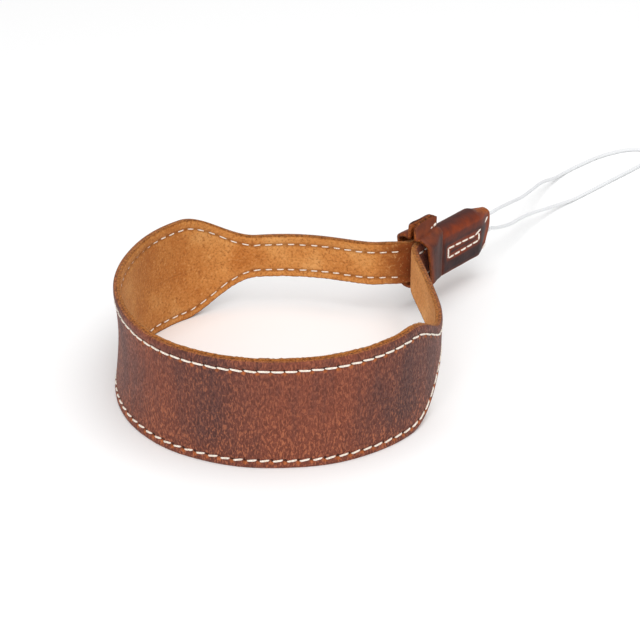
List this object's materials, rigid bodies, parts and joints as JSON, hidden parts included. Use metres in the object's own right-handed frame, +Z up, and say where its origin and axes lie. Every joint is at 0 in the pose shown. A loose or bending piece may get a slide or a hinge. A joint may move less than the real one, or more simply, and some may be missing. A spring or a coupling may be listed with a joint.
{
  "type": "leather wrist strap",
  "caption": "Suede-lined leather wrist strap closed into a loop, with narrow ends sewn into a tab, a sliding keeper that tightens it and a thin cord loop for the thing carried.",
  "frame": {"origin": "under the middle of the leather parts, on the surface the strap stands on", "axes": "+Z up along the height of the band; the tab and its cord point towards +X and +Y"},
  "size_m": [0.1898, 0.2151, 0.035],
  "materials": {
    "outer_leather": "oiled pull-up leather",
    "suede": "napped suede",
    "tab_leather": "oiled pull-up leather, raw edges",
    "keeper_leather": "oiled pull-up leather, raw edges",
    "thread": "waxed cream thread",
    "cord": "round white cord"
  },
  "bodies": {
    "strap": {"outer_leather": "outer_leather", "suede_lining": "suede", "top_seam": "thread", "bottom_seam": "thread", "top_lining_seam": "thread", "bottom_lining_seam": "thread", "tab_cover": "tab_leather", "tab_box_stitch": "thread", "tab_end_stitches": "thread", "cord_knot": "cord", "cord_loop": "cord"},
    "keeper": {"keeper_strip": "keeper_leather", "keeper_stitches": "thread"}
  },
  "joints": [
    {"name": "keeper_slide", "type": "slide", "parent": "strap", "child": "keeper", "axis": [-0.682, -0.7314, 0], "range_m": [0, 0.004]}
  ]
}
